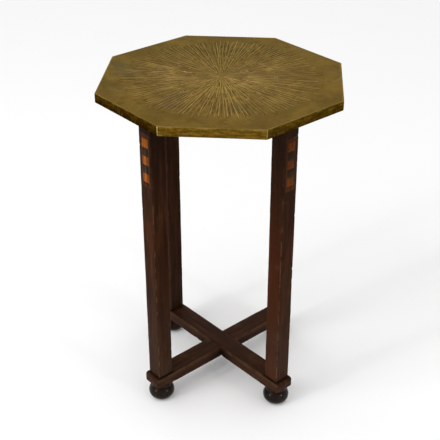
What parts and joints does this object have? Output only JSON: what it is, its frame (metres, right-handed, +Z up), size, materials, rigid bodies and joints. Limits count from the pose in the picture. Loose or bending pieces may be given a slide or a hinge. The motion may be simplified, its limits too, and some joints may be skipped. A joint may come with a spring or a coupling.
{
  "type": "brass tray table",
  "caption": "Octagonal side table: chased brass top folded over a board, inlaid square legs, crossed stretcher and bun feet.",
  "frame": {"origin": "on the floor at the middle of the table", "axes": "+Z up through the middle of the top, -Y towards the front edge of the octagon, +X to the right"},
  "size_m": [0.44, 0.44, 0.658],
  "materials": {
    "aged_brass": "aged, hand-chased, dull satin",
    "solder": "bright filed solder",
    "tack_brass": "dull",
    "screw_steel": "dark, lightly rusted",
    "board_wood": "raw, darkened with age",
    "frame_wood": "dark stain under worn satin polish",
    "satinwood": "satin polish",
    "ebony": "satin polish",
    "rosewood": "satin polish",
    "boxwood": "satin polish, darkened",
    "ebonised_wood": "glossy dark polish"
  },
  "bodies": {
    "root": {"brass_tray_top": "aged_brass", "rim_corner_seams": "solder", "top_board": "board_wood", "lip_tacks": "tack_brass", "top_screws": "screw_steel", "upper_rail_lower_half": "frame_wood", "upper_rail_upper_half": "frame_wood", "stretcher_bar_front_left": "frame_wood", "stretcher_bar_front_right": "frame_wood", "leg_front_left": "frame_wood", "inlay_light_squares_front_left": "satinwood", "inlay_dark_squares_front_left": "ebony", "inlay_red_bands_front_left": "rosewood", "inlay_light_lines_front_left": "boxwood", "foot_front_left": "ebonised_wood", "leg_front_right": "frame_wood", "inlay_light_squares_front_right": "satinwood", "inlay_dark_squares_front_right": "ebony", "inlay_red_bands_front_right": "rosewood", "inlay_light_lines_front_right": "boxwood", "foot_front_right": "ebonised_wood", "leg_back_right": "frame_wood", "inlay_light_squares_back_right": "satinwood", "inlay_dark_squares_back_right": "ebony", "inlay_red_bands_back_right": "rosewood", "inlay_light_lines_back_right": "boxwood", "foot_back_right": "ebonised_wood", "leg_back_left": "frame_wood", "inlay_light_squares_back_left": "satinwood", "inlay_dark_squares_back_left": "ebony", "inlay_red_bands_back_left": "rosewood", "inlay_light_lines_back_left": "boxwood", "foot_back_left": "ebonised_wood"}
  },
  "joints": []
}
